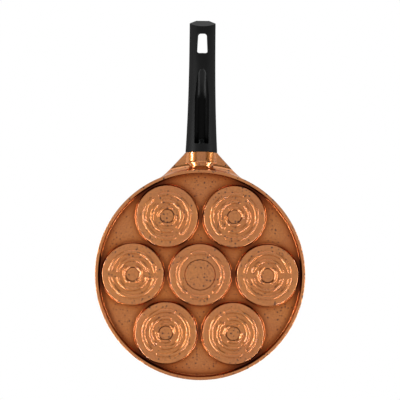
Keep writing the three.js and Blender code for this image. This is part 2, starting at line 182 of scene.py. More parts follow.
# Screw and washers, along the handle from its seat.
SCREW_RADIUS = 3 * MM
SCREW_TIP = -12 * MM
SCREW_CHAMFER = 0.8 * MM
SCREW_FACETS = 48
HEAD_RADIUS = 5.5 * MM
HEAD_FROM = 14.4 * MM
HEAD_TO = 18.4 * MM
HEAD_DOME = 2.4 * MM  # height of the rounded part of the head
DOME_STEPS = 6
RECESS_WIDTH = 1.5 * MM
RECESS_SPAN = 5.5 * MM
RECESS_DEPTH = 1.8 * MM
WASHER_RADIUS = 6.2 * MM
WASHER_FROM = 10.8 * MM
WASHER_TO = 12.2 * MM
WASHER_EDGE = 0.25 * MM
SPRING_RADIUS = 5.3 * MM
SPRING_FROM = 12.5 * MM
SPRING_TO = 14.1 * MM
SPRING_EDGE = 0.15 * MM
SPRING_SLIT = 1.2 * MM
SPRING_RISE = 0.25 * MM  # how far the ends of the split ring stand apart

# Edges that turn by more degrees than these stay sharp.
CAST_SHARP = 38
RESIN_SHARP = 30
STEEL_SHARP = 35

# Finishes, by the size of what they show.
COAT_DRIFT = 45 * MM  # patches of redder coat
COAT_STAIN = 2.0 * MM
STAIN_RANGE = (0.42, 0.7)  # noise at which a stain begins and is full
STAIN_MOST = 0.35
COAT_PEEL = 1.4 * MM  # waves of the sprayed surface, drawn longer than real so that they show
COAT_PEEL_HEIGHT = 0.05 * MM
# Flecks are drawn larger than real so that they show: size of a cell, share of the cells with a fleck.
FLECK_CELLS = ((4.2 * MM, 0.6), (3.0 * MM, 0.3))
FLECK_REACH = 0.26  # largest radius of a fleck, as a share of its cell
FLECK_EDGE = 0.05  # softness of a fleck's edge, as a share of its cell
# Painted shade, drawn from ambient occlusion in hollows near walls and darker in narrow crevices:
# how near the walls stand, the openness up to which the painted shade is darkest, and the openness from which
# there is none.
HOLLOW_SHADE_AO = (24 * MM, 0.6, 1.0)
CREVICE_SHADE_AO = (10 * MM, 0.42, 0.78)
SHADE_MOST = 0.95  # how dark the painted shade gets at most
SHADE_EDGE = 0.5 * MM  # half the width over which the painted shade ends at the body's edge
SHADE_SAMPLES = 8
CLEAR_FROM = 0.72  # openness from which the clear coat begins
CLEAR_MOST = 0.9
RESIN_CLOUD = 18 * MM
RESIN_GRIT = 0.9 * MM  # mould texture, drawn coarser than real so that it shows
RESIN_GRIT_HEIGHT = 0.04 * MM
ZINC_CLOUD = 2.5 * MM

# Photograph's camera, under the pan and looking straight up.
PHOTO_PIXELS = 400  # width of the photograph
FOCAL_PIXELS = 848  # focal length in the photograph's pixels
SENSOR = 36  # width of the sensor in mm
CAMERA_ROLL = radians(0.6)
CAMERA_PLACE = (0.00105, PAN_Y + 0.0926, -1.047)
# Soft boxes that face the pan: name, place, width and height, watts.
LAMPS = (
    ("left box", (0.80, PAN_Y - 0.27, -0.80), (1.6, 0.09), 25.5),
    ("right box", (-0.80, PAN_Y - 0.34, -0.80), (1.6, 0.09), 20),
    ("front box", (0, PAN_Y + 0.02, -1.45), (1.35, 1.35), 3.2),
    ("far box", (0, PAN_Y + 1.15, -0.70), (1.3, 0.5), 3.2),
    ("top box", (0.5, -0.6, 1.4), (1.2, 1.2), 19),
)
EVEN_LIGHT = 0.06  # strength of the world where it isn't seen
PAPER = "#F0F0EE"
PAPER_SIZE = 6
GROUND = "#242424"
GROUND_SIZE = 9
GROUND_HEIGHT = -1.5
MATT = 0.9  # roughness of paper and ground


def length(name, millimetres, text):
    return FloatProperty(name=name, description=text, default=millimetres * MM, unit="LENGTH", precision=4)


def colour(name, code, text):
    return StringProperty(name=name, description=text, default=code)


class PanSizes(bpy.types.PropertyGroup):
    """Sizes of the cast body."""

    face_radius: length("Mould face", 37.9, "Radius of a mould's flat foot")
    draft: length("Mould draft", 2.4, "How much wider a mould is where it meets the plate")
    depth: length("Mould depth", 6.5, "How far a mould's foot stands below the plate")
    gap: length("Mould gap", 2.8, "Between two neighbouring moulds at the plate")
    floor: length("Mould floor", 2.6, "Metal under a mould's cooking floor")
    side: length("Mould side", 2.7, "Metal in a mould's side wall, measured level")
    plate: length("Plate", 3.0, "Metal between the moulds")
    ridge: length("Ring height", 1.0, "Height of the broken rings under a mould")
    print_depth: length("Ring print", 0.6, "Depth of the rings' prints in the cooking floor")
    rim_height: length("Rim height", 28, "Top of the wall above the standing plane")
    neck_end: length("Neck end", 42, "Width of the neck at the handle")
    neck_spread: length("Neck spread", 97, "Width of the neck where it leaves the wall")


class HandleSizes(bpy.types.PropertyGroup):
    """Sizes of the handle."""

    rise: FloatProperty(
        name="Rise",
        description="How steeply the handle climbs",
        default=radians(6),
        subtype="ANGLE",
    )
    seat_height: length("Seat height", 17.16, "Middle of the handle's seat above the standing plane")
    reach: length("Seat reach", 151.7, "From the pan's axis to the handle's seat")
    span: length("Length", 160.9, "Along the middle of the underside")
    seat_width: length("Seat width", 39.9, "Width at the pan")
    end_width: length("End width", 33.1, "Width at the far end")


class PanFinishes(bpy.types.PropertyGroup):
    """Colours of the finishes and of the painted shade, as sRGB hex codes."""

    coat: colour("Coat", "#CE833A", "Copper-coloured coat on the body")
    coat_red: colour("Redder coat", "#BA6B36", "Where the coat is redder")
    coat_dark: colour("Darker coat", "#86451F", "Small darker stains in the coat")
    fleck: colour("Fleck", "#1A0903", "Dark flecks in the coat")
    # Painted shade: the coat is drawn darker where ambient occlusion finds walls near, in hollows and the
    # neck's cove.
    hollow_shade: colour("Thin coat", "#923F12", "Where walls keep off some of the spray")
    # Painted shade: near black where ambient occlusion finds narrow crevices, between the moulds and beside
    # the skirt.
    crevice_shade: colour("Primer", "#3C1206", "Dark primer that shows where the spray hardly reaches")
    resin: colour("Resin", "#080808", "Black of the handle")
    resin_pale: colour("Paler resin", "#0D0D0D", "Where the handle is a little paler")
    # The black plating is partly painted shade: it is drawn near black so that the screw and washers stay as
    # dark as the shadow in the handle's channel.
    zinc: colour("Zinc", "#202122", "Black plating on the screw and washers")
    zinc_dull: colour("Dull zinc", "#161717", "Where the plating is duller")


def sizes():
    return bpy.context.scene.pan_sizes


def handle_sizes():
    return bpy.context.scene.pan_handle


def finishes():
    return bpy.context.scene.pan_finishes


# Shapes


def spun(profile, facets):
    """A closed turning about Z from (radius, height) pairs that start and end on the axis."""
    bm = bmesh.new()
    verts = [bm.verts.new((radius, 0, height)) for radius, height in profile]
    edges = [bm.edges.new(pair) for pair in zip(verts, verts[1:])]
    bmesh.ops.spin(
        bm, geom=verts + edges, cent=(0, 0, 0), axis=(0, 0, 1), angle=TURN, steps=facets, use_merge=True
    )
    tidy(bm)
    return bm


def tidy(bm):
    bmesh.ops.remove_doubles(bm, verts=bm.verts, dist=MERGE)
    bmesh.ops.recalc_face_normals(bm, faces=bm.faces)


def ease(bm, edges, width, segments):
    bmesh.ops.bevel(
        bm,
        geom=edges,
        offset=width,
        offset_type="OFFSET",
        segments=segments,
        profile=0.5,
        affect="EDGES",
        clamp_overlap=True,
        material=-1,
    )


def ease_ring(bm, radius, height, width, segments=3):
    """Rounds the circular edge at one radius and height of a turning."""

    def on_ring(vert):
        return abs(hypot(vert.co.x, vert.co.y) - radius) < ON_RING and abs(vert.co.z - height) < ON_RING

    edges = [edge for edge in bm.edges if all(on_ring(vert) for vert in edge.verts)]
    if not edges:
        raise RuntimeError(f"no edge at radius {radius:.4f} and height {height:.4f}")
    ease(bm, edges, width, segments)


def repeated(bm, places):
    """Copies of a shape at the given places in plan."""
    out = bmesh.new()
    mesh = bpy.data.meshes.new("stamp")
    bm.to_mesh(mesh)
    bm.free()
    for x, y in places:
        before = set(out.verts)
        out.from_mesh(mesh)
        bmesh.ops.translate(out, verts=[v for v in out.verts if v not in before], vec=(x, y, 0))
    bpy.data.meshes.remove(mesh)
    return out


def solid(name, bm, matrix=Matrix()):
    """A new object with its place in its mesh."""
    bm.transform(matrix)
    mesh = bpy.data.meshes.new(name)
    bm.to_mesh(mesh)
    bm.free()
    made = bpy.data.objects.new(name, mesh)
    bpy.context.scene.collection.objects.link(made)
    return made


def combine(base, bm, operation, matrix=Matrix()):
    """Joins a closed shape to a piece, or cuts it away."""
    tool = solid("tool", bm, matrix)
    cut = base.modifiers.new("cut", "BOOLEAN")
    cut.operation = operation
    cut.solver = "MANIFOLD"
    cut.object = tool
    old = base.data
    made = bpy.data.meshes.new_from_object(base.evaluated_get(bpy.context.evaluated_depsgraph_get()))
    base.modifiers.clear()
    base.data = made
    made.name = base.name
    bpy.data.meshes.remove(old)
    tool_mesh = tool.data
    bpy.data.objects.remove(tool)
    bpy.data.meshes.remove(tool_mesh)
    if not made.polygons:
        raise RuntimeError(f"{base.name} vanished in a {operation.lower()}")


def taken(piece):
    """The shape of a piece that is only a step, with the piece removed."""
    bm = bmesh.new()
    bm.from_mesh(piece.data)
    mesh = piece.data
    bpy.data.objects.remove(piece)
    bpy.data.meshes.remove(mesh)
    return bm


def smooth(piece, degrees):
    piece.data.shade_smooth()
    piece.data.set_sharp_from_angle(angle=radians(degrees))
    even = piece.modifiers.new("even shading", "WEIGHTED_NORMAL")
    even.mode = "FACE_AREA_WITH_ANGLE"
    even.keep_sharp = True


def seat(piece, material, slot, *nodes):
    """Puts a finished piece on the frame in place of its solids."""
    piece.data.materials.clear()
    piece.data.materials.append(material)
    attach(piece, BODY)
    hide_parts(*nodes)


# Body


def levels():
    """Heights and radii that follow from the body's sizes, in metres."""
    s = sizes()
    foot = s.ridge
    under = foot + s.depth
    root = s.face_radius + s.draft
    pitch = (2 * root + s.gap) / (2 * sin(pi / len(OUTER_AZIMUTHS)))
    skirt_foot = pitch + root + SKIRT_CLEAR
    return {
        "foot": foot,
        "under": under,
        "top": under + s.plate,
        "floor": foot + s.floor,
        "root": root,
        "pitch": pitch,
        "skirt_foot": skirt_foot,
        "skirt_inner": skirt_foot + SKIRT_LEAN,
        "body": skirt_foot + SKIRT_REACH,
    }


def shell(at):
    """Plate, skirt and wall in one turning."""
    rim = sizes().rim_height
    wall_foot = at["skirt_foot"] + WALL_STEP
    bm = spun(
        [
            (0, at["under"]),
            (at["skirt_foot"] + FOOT_ROUND, at["under"]),
            (at["skirt_inner"], 0),
            (at["body"], 0),
            (RIM_RADIUS, rim),
            (RIM_RADIUS - RIM_WIDTH, rim),
            (wall_foot, at["top"]),
            (0, at["top"]),
        ],
        BODY_FACETS,
    )
    ease_ring(bm, at["skirt_foot"] + FOOT_ROUND, at["under"], FOOT_ROUND, segments=5)
    ease_ring(bm, at["skirt_inner"], 0, SKIRT_INNER_EDGE, segments=2)
    ease_ring(bm, at["body"], 0, SKIRT_OUTER_EDGE)
    ease_ring(bm, RIM_RADIUS, rim, RIM_EDGE)
    ease_ring(bm, RIM_RADIUS - RIM_WIDTH, rim, RIM_EDGE)
    ease_ring(bm, wall_foot, at["top"], WALL_FILLET, segments=5)
    return bm


def pad(at, line):
    """The outside of a mould, with a scribed circle on its foot."""
    s = sizes()
    inside = (at["under"] + at["top"]) / 2
    radius, half, deep = line
    bm = spun(
        [
            (0, at["foot"]),
            (radius - half, at["foot"]),
            (radius - half / 3, at["foot"] + deep),
            (radius + half / 3, at["foot"] + deep),
            (radius + half, at["foot"]),
            (s.face_radius, at["foot"]),
            (at["root"] - FOOT_ROUND, at["under"]),
            (at["root"] + FOOT_ROUND, at["under"] + FOOT_LIFT),
            (at["root"] + FOOT_ROUND, inside),
            (0, inside),
        ],
        MOULD_FACETS,
    )
    ease_ring(bm, s.face_radius, at["foot"], FACE_EDGE, segments=4)
    ease_ring(bm, at["root"] - FOOT_ROUND, at["under"], FOOT_ROUND, segments=5)
    return bm


def hollow(at):
    """The inside of a mould, with the same draft as its outside."""
    s = sizes()
    lean = s.draft / s.depth
    above = at["top"] + s.plate

    def radius(height):
        return s.face_radius + lean * (height - at["foot"]) - s.side

    bm = spun(
        [
            (0, at["floor"]),
            (radius(at["floor"]), at["floor"]),
            (radius(at["top"]), at["top"]),
            (radius(at["top"]) + MOUTH_WIDTH, at["top"] + MOUTH_HEIGHT),
            (radius(at["top"]) + MOUTH_WIDTH, above),
            (0, above),
        ],
        MOULD_FACETS,
    )
    ease_ring(bm, radius(at["floor"]), at["floor"], FLOOR_FILLET)
    ease_ring(bm, radius(at["top"]), at["top"], MOUTH_EDGE, segments=2)
    return bm


def ring_arc(bm, ring, start, end, crest, base):
    """One arc of a broken ring, with flowing flanks and rounded ends."""
    radius, width, _ = RINGS[ring]
    half = width / 2
    flank = [
        (
            half - RING_SLOPE * (1 - i / FLANK_STEPS),
            crest + (base - crest) * (1 - cos(pi * i / FLANK_STEPS)) / 2,
        )
        for i in range(FLANK_STEPS + 1)
    ]
    outer = [(0, crest)] + flank + [(half, base + RING_ROOT), (0, base + RING_ROOT)]
    inner = [(-across, height) for across, height in outer[-2:0:-1]]
    facing = Matrix.Rotation(start, 3, "Z")
    verts = [bm.verts.new(facing @ Vector((radius + across, 0, height))) for across, height in outer + inner]
    edges = [bm.edges.new(pair) for pair in zip(verts, verts[1:] + verts[:1])]
    steps = max(ARC_LEAST_STEPS, round(radius * (end - start) / RING_STEP))
    swept = bmesh.ops.spin(
        bm, geom=verts + edges, cent=(0, 0, 0), axis=(0, 0, 1), angle=end - start, steps=steps
    )
    last = [item for item in swept["geom_last"] if isinstance(item, bmesh.types.BMEdge)]
    for angle, loop, turn in ((start, edges, -pi), (end, last, pi)):
        out = Vector((cos(angle), sin(angle), 0))
        half_loop = [e for e in loop if all(v.co.xy.length > radius - ON_RING for v in e.verts)]
        ends = list(dict.fromkeys(v for e in half_loop for v in e.verts))
        bmesh.ops.spin(
            bm,
            geom=ends + half_loop,
            cent=out * radius,
            axis=(0, 0, 1),
            angle=turn,
            steps=NOSE_STEPS,
        )


def broken_ring(bm, ring, breaks, crest, base):
    radius, width, gap = RINGS[ring]
    half_gap = (gap + width) / 2 / radius
    for angle, following in zip(breaks, breaks[1:] + [breaks[0] + TURN]):
        ring_arc(bm, ring, angle + half_gap, following - half_gap, crest, base)


def rings(at, crest, base):
    """Every mould's rings: the outer moulds' two larger ones break on the line to the middle."""
    out = bmesh.new()
    mesh = bpy.data.meshes.new("rings")
    for i, azimuth in enumerate([None] + OUTER_AZIMUTHS):
        bm = bmesh.new()
        if azimuth is None:
            broken_ring(bm, 2, MIDDLE_BREAKS, crest, base)
            place = Vector((0, 0, 0))
        else:
            across = azimuth + pi / 2
            broken_ring(bm, 0, [across, across + pi], crest, base)
            broken_ring(bm, 1, [azimuth, azimuth + pi], crest, base)
            broken_ring(bm, 2, [azimuth, azimuth + pi], crest, base)
            place = Vector((at["pitch"] * cos(azimuth), at["pitch"] * sin(azimuth), 0))
        tidy(bm)
        bmesh.ops.translate(bm, verts=bm.verts, vec=place)
        bm.to_mesh(mesh)
        bm.free()
        out.from_mesh(mesh)
    bpy.data.meshes.remove(mesh)
    return out


# Neck


def handle_place():
    """The handle's own frame: Y runs along it from the seat, Z is up at no rise."""
    h = handle_sizes()
    return Matrix.Translation((0, h.reach, h.seat_height)) @ Matrix.Rotation(h.rise, 4, "X")


def plate_of(outline, low, high):
    """A plan outline raised from one level to another."""
    bm = bmesh.new()
    face = bm.faces.new([bm.verts.new((x, y, low)) for x, y in outline])
    raised = bmesh.ops.extrude_face_region(bm, geom=[face], use_keep_orig=True)
    top = [item for item in raised["geom"] if isinstance(item, bmesh.types.BMVert)]
    bmesh.ops.translate(bm, verts=top, vec=(0, 0, high - low))
    tidy(bm)
    return bm


def block(width, depth, low, high):
    """A box centred on X, from depth[0] to depth[1] along Y."""
    bm = bmesh.new()
    bmesh.ops.create_cube(bm, size=1)
    size = (width, depth[1] - depth[0], high - low)
    bmesh.ops.scale(bm, verts=bm.verts, vec=size)
    bmesh.ops.translate(bm, verts=bm.verts, vec=(0, (depth[0] + depth[1]) / 2, (low + high) / 2))
    return bm


def trim(bm, point, normal):
    """Cuts away what lies beyond a plane and closes the cut."""
    geom = bm.verts[:] + bm.edges[:] + bm.faces[:]
    bmesh.ops.bisect_plane(bm, geom=geom, plane_co=point, plane_no=normal, clear_outer=True)
    bmesh.ops.holes_fill(bm, edges=[e for e in bm.edges if e.is_boundary], sides=0)
    bmesh.ops.recalc_face_normals(bm, faces=bm.faces)


def ease_sharp(bm, degrees, width, segments, keep=lambda edge: True):
    """Rounds every edge that turns by more than an angle."""
    limit = radians(degrees)
    edges = [e for e in bm.edges if e.is_manifold and e.calc_face_angle(0) > limit and keep(e)]
    ease(bm, edges, width, segments)


def upright_edges(bm):
    return [e for e in bm.edges if abs(e.verts[0].co.z - e.verts[1].co.z) > UPRIGHT]


def flared(at, low, high):
    """The neck's plan between two levels, with its flanks flowing into the wall."""
    s, h = sizes(), handle_sizes()
    end, spread = s.neck_end / 2, s.neck_spread / 2
    tail = spread + NECK_TAIL
    wall = sqrt(at["body"] ** 2 - spread**2)
    inside = sqrt((at["body"] - NECK_SINK) ** 2 - tail**2)
    right = [
        (tail, inside - NECK_HEEL),
        (tail, inside),
        (spread, wall),
        (end, h.reach - NECK_STRAIGHT),
        (end, h.reach + NECK_STRAIGHT),
    ]
    bm = plate_of(right + [(-x, y) for x, y in reversed(right)], low, high)

    def on_flare(vert):
        return abs(abs(vert.co.x) - spread) < ON_RING

    upright = [e for e in upright_edges(bm) if all(on_flare(v) for v in e.verts)]
    ease(bm, upright, NECK_FILLET, segments=6)
    return bm


def bridge(at):
    """The flared plate between the wall and the handle's seat."""
    s, h = sizes(), handle_sizes()
    bm = flared(at, NECK_UNDER, s.rim_height)
    rise = h.seat_height + HANDLE_SEAT_BACK - FIT - NECK_WALL_TOP
    trim(bm, (0, at["body"], NECK_WALL_TOP), (0, -rise, h.reach - at["body"]))
    lean = Vector((0, cos(h.rise), sin(h.rise)))
    trim(bm, Vector((0, h.reach, h.seat_height)) - lean * NECK_SHORT, lean)
    ease_sharp(bm, degrees=40, width=CAST_EDGE, segments=3)
    return bm


def drum(radius, low, high, facets):
    """A plain cylinder about Z."""
    return spun([(0, low), (radius, low), (radius, high), (0, high)], facets)


def root(at):
    """The rounded root of the neck, from the wall out to the plate's lower face."""
    foot = NECK_UNDER - NECK_COVE
    top = NECK_UNDER + NECK_LAP
    turns = [pi / 2 * i / COVE_STEPS for i in range(COVE_STEPS + 1)]
    cove = [(at["body"] + NECK_COVE * (1 - cos(t)), foot + NECK_COVE * sin(t)) for t in turns]
    piece = solid("root", flared(at, 0, NECK_WALL_TOP))
    edge = at["body"] + NECK_COVE
    combine(piece, spun([(0, foot), *cove, (edge, top), (0, top)], BODY_FACETS), "INTERSECT")
    return taken(piece)


def rib():
    """The boss's form carried on to the wall, narrower and rounded off, in the handle's frame."""
    h = handle_sizes()
    bm = section_loop(handle_section(), -BOSS_LENGTH / 2)
    bmesh.ops.scale(bm, verts=bm.verts, vec=(RIB_WIDTH / h.seat_width, 1, RIB_CROWN / HANDLE_SEAT_CROWN))
    stations = [(-BOSS_LENGTH, 1, 1, RIB_BACK)]
    for i in range(1, RIB_STEPS + 1):
        turn = pi / 2 * i / RIB_STEPS
        width = RIB_END + (1 - RIB_END) * cos(turn)
        stations.append((-BOSS_LENGTH - RIB_ROUND * sin(turn), width, width**2, RIB_BACK))
    sweep(bm, stations)
    close_ends(bm)
    return bm


def boss():
    """The crowned block that the handle butts against, in the handle's frame."""
    bm = section_loop(handle_section(), -BOSS_LENGTH)
    lip = BOSS_LIP - BOSS_LENGTH
    sweep(bm, [(lip, 1, 1, 1), (lip + BOSS_LIP_FALL, *BOSS_SHARES), (0, *BOSS_SHARES)])
    close_ends(bm)

    def on_lip(edge):
        return all(v.co.y < lip + ON_RING for v in edge.verts)

    ease_sharp(bm, degrees=30, width=CAST_EDGE, segments=3, keep=on_lip)
    return bm


# Handle


def handle_section():
    """(X, Z) pairs at the seat: an arc below, a side strip, a bevel and a flat strip above."""
    half = handle_sizes().seat_width / 2
    side = HANDLE_SIDE / 2
    sag = HANDLE_SEAT_CROWN - side
    radius = (half**2 + sag**2) / (2 * sag)
    spread = asin(half / radius)
    centre = radius - HANDLE_SEAT_CROWN
    turns = [spread * (2 * i / CROWN_FACETS - 1) for i in range(CROWN_FACETS + 1)]
    arc = [(radius * sin(turn), centre - radius * cos(turn)) for turn in turns]
    top = HANDLE_TOP_FLAT / 2
    return arc + [(half, side), (top, HANDLE_SEAT_BACK), (-top, HANDLE_SEAT_BACK), (-half, side)]


def section_loop(section, y):
    bm = bmesh.new()
    verts = [bm.verts.new((x, y, z)) for x, z in section]
    for pair in zip(verts, verts[1:] + verts[:1]):
        bm.edges.new(pair)
    return bm


def sweep(bm, stations):
    """Draws a section out to each (Y, width, crown, back), the last three as shares of the section's own."""
    edges = bm.edges[:]
    width, crown, back = 1, 1, 1
    for y, new_width, new_crown, new_back in stations:
        drawn = bmesh.ops.extrude_edge_only(bm, edges=edges)["geom"]
        verts = [item for item in drawn if isinstance(item, bmesh.types.BMVert)]
        fresh = set(verts)
        edges = [e for e in drawn if isinstance(e, bmesh.types.BMEdge) and fresh.issuperset(e.verts)]
        bmesh.ops.translate(bm, verts=verts, vec=(0, y - verts[0].co.y, 0))
        bmesh.ops.scale(bm, verts=verts, vec=(new_width / width, 1, 1))
        bmesh.ops.scale(bm, verts=[v for v in verts if v.co.z < 0], vec=(1, 1, new_crown / crown))
        bmesh.ops.scale(bm, verts=[v for v in verts if v.co.z > 0], vec=(1, 1, new_back / back))
        width, crown, back = new_width, new_crown, new_back


def close_ends(bm):
    bmesh.ops.holes_fill(bm, edges=[e for e in bm.edges if e.is_boundary], sides=0)
    bmesh.ops.recalc_face_normals(bm, faces=bm.faces)


def taper(y):
    """Width, crown and back at a place along the handle, as shares of those at the seat."""
    h = handle_sizes()
    left = 1 - y / h.span
    width = h.end_width + (h.seat_width - h.end_width) * max(left, 0) ** HANDLE_WAIST
    crown = HANDLE_END_CROWN + (HANDLE_SEAT_CROWN - HANDLE_END_CROWN) * left
    back = HANDLE_END_BACK + (HANDLE_SEAT_BACK - HANDLE_END_BACK) * left
    return width / h.seat_width, crown / HANDLE_SEAT_CROWN, back / HANDLE_SEAT_BACK


def handle_blank():
    h = handle_sizes()
    far = h.span + (HANDLE_SEAT_CROWN + HANDLE_SEAT_BACK) * tan(HANDLE_SLANT)
    bm = section_loop(handle_section(), FIT)
    places = [FIT + (far - FIT) * (i + 1) / HANDLE_STEPS for i in range(HANDLE_STEPS)]
    sweep(bm, [(y, *taper(y)) for y in places])
    close_ends(bm)
    trim(bm, (0, h.span, -HANDLE_END_CROWN), (0, cos(HANDLE_SLANT), -sin(HANDLE_SLANT)))
    ease_sharp(bm, degrees=25, width=HANDLE_EDGE, segments=3)
    return bm


def screw_channel():
    """A trough that scoops down from an arched tip to a deep slot, open below."""
    bm = bmesh.new()
    bmesh.ops.create_circle(bm, cap_ends=False, segments=CHANNEL_FACETS, radius=1)
    for v in bm.verts:
        v.co.x = abs(v.co.x) ** CHANNEL_SQUARE * (1 if v.co.x > 0 else -1)
        v.co.y = abs(v.co.y) ** CHANNEL_SQUARE * (1 if v.co.y > 0 else -1)
    bmesh.ops.rotate(bm, verts=bm.verts, matrix=Matrix.Rotation(pi / 2, 3, "X"))
    bmesh.ops.translate(bm, verts=bm.verts, vec=(0, CHANNEL_STATIONS[0][0], 0))
    half, deep = CHANNEL_STATIONS[0][1:]
    bmesh.ops.scale(bm, verts=bm.verts, vec=(half, 1, deep))
    sweep(bm, [(y, a / half, d / deep, d / deep) for y, a, d in CHANNEL_STATIONS[1:]])
    close_ends(bm)
    bmesh.ops.translate(bm, verts=bm.verts, vec=(0, 0, -HANDLE_SEAT_CROWN + CHANNEL_RAISE))
    return bm


def hanging_hole():
    """A tapering hole with rounded corners and a leaning far wall."""
    far = HOLE_FROM + HOLE_LENGTH
    near_half, far_half = HOLE_NEAR_WIDTH / 2, HOLE_FAR_WIDTH / 2
    outline = [(-near_half, HOLE_FROM), (near_half, HOLE_FROM), (far_half, far), (-far_half, far)]
    bm = plate_of(outline, -2 * HANDLE_SEAT_CROWN, 2 * HANDLE_SEAT_BACK)
    for v in bm.verts:
        if v.co.y > far - ON_RING:
            v.co.y += v.co.z * tan(HOLE_SLANT)
    ease(bm, upright_edges(bm), HOLE_CORNER, segments=6)
    return bm


# Fasteners


def pan_head_screw():
    """A screw about Z with a domed head."""
    turns = [pi / 2 * i / DOME_STEPS for i in range(DOME_STEPS + 1)]
    dome = [(HEAD_RADIUS * cos(t), HEAD_TO - HEAD_DOME * (1 - sin(t))) for t in turns]
    dome[-1] = (0, HEAD_TO)
    stem = [
        (0, SCREW_TIP),
        (SCREW_RADIUS - SCREW_CHAMFER, SCREW_TIP),
        (SCREW_RADIUS, SCREW_TIP + SCREW_CHAMFER),
        (SCREW_RADIUS, HEAD_FROM),
        (HEAD_RADIUS, HEAD_FROM),
    ]
    return spun(stem + dome, SCREW_FACETS)


def ring_section(radius, low, high):
    return [(BORE, low), (radius, low), (radius, high), (BORE, high)]


def washer():
    """A flat punched ring about Z."""
    corners = ring_section(WASHER_RADIUS, WASHER_FROM, WASHER_TO)
    bm = spun(corners + corners[:1], SCREW_FACETS)
    for height in (WASHER_FROM, WASHER_TO):
        ease_ring(bm, WASHER_RADIUS, height, WASHER_EDGE)
    return bm


def split_ring():
    """A split ring about Z whose ends stand a little apart, with the slit towards -Y."""
    bm = bmesh.new()
    corners = ring_section(SPRING_RADIUS, SPRING_FROM, SPRING_TO - SPRING_RISE)
    slit = SPRING_SLIT / SPRING_RADIUS
    facing = Matrix.Rotation(slit / 2 - pi / 2, 3, "Z")
    verts = [bm.verts.new(facing @ Vector((radius, 0, height))) for radius, height in corners]
    edges = [bm.edges.new(pair) for pair in zip(verts, verts[1:] + verts[:1])]
    bmesh.ops.spin(
        bm,
        geom=verts + edges,
        cent=(0, 0, 0),
        axis=(0, 0, 1),
        dvec=(0, 0, SPRING_RISE / SCREW_FACETS),
        angle=TURN - slit,
        steps=SCREW_FACETS,
    )
    close_ends(bm)
    ease_sharp(bm, degrees=60, width=SPRING_EDGE, segments=2)
    return bm


# Finishes


def linear(code):
    """An sRGB hex code as linear red, green, blue and alpha."""
    parts = [int(code[i : i + 2], 16) / 255 for i in (1, 3, 5)]
    return [p / 12.92 if p <= 0.04045 else ((p + 0.055) / 1.055) ** 2.4 for p in parts] + [1]


def node(owner, kind, links=(), **settings):
    """Adds a node with its settings, and gives its inputs a value or a link."""
    made = owner.node_tree.nodes.new(kind)
    for name, value in settings.items():
        setattr(made, name, value)
    for socket, value in links:
        if isinstance(value, bpy.types.NodeSocket):
            owner.node_tree.links.new(value, made.inputs[socket])
        else:
            made.inputs[socket].default_value = value
    return made


def new_material(name):
    material = bpy.data.materials.new(name)
    material.use_nodes = True
    material.node_tree.nodes.clear()
    return material


def noise(owner, place, size, detail):
    """Soft noise with waves about as long as the size."""
    links = [("Vector", place), ("Scale", 1 / size), ("Detail", detail)]
    return node(owner, "ShaderNodeTexNoise", links).outputs["Fac"]


def remap(owner, value, before=(0, 1), after=(0, 1)):
    """Moves a value from one range to another and holds it there."""
    links = [
        ("Value", value),
        ("From Min", before[0]),
        ("From Max", before[1]),
        ("To Min", after[0]),
        ("To Max", after[1]),
    ]
    return node(owner, "ShaderNodeMapRange", links).outputs[0]


def blend(owner, factor, first, second):
    """A colour between two others."""
    links = [("Factor", factor), (6, first), (7, second)]
    return node(owner, "ShaderNodeMix", links, data_type="RGBA").outputs[2]


def maths(owner, operation, first, second):
    return node(owner, "ShaderNodeMath", [(0, first), (1, second)], operation=operation).outputs[0]


def surface(material, links, kind="ShaderNodeBsdfPrincipled"):
    """Ends a material with its shader."""
    shader = node(material, kind, links)
    node(material, "ShaderNodeOutputMaterial", [("Surface", shader.outputs[0])])
    return material


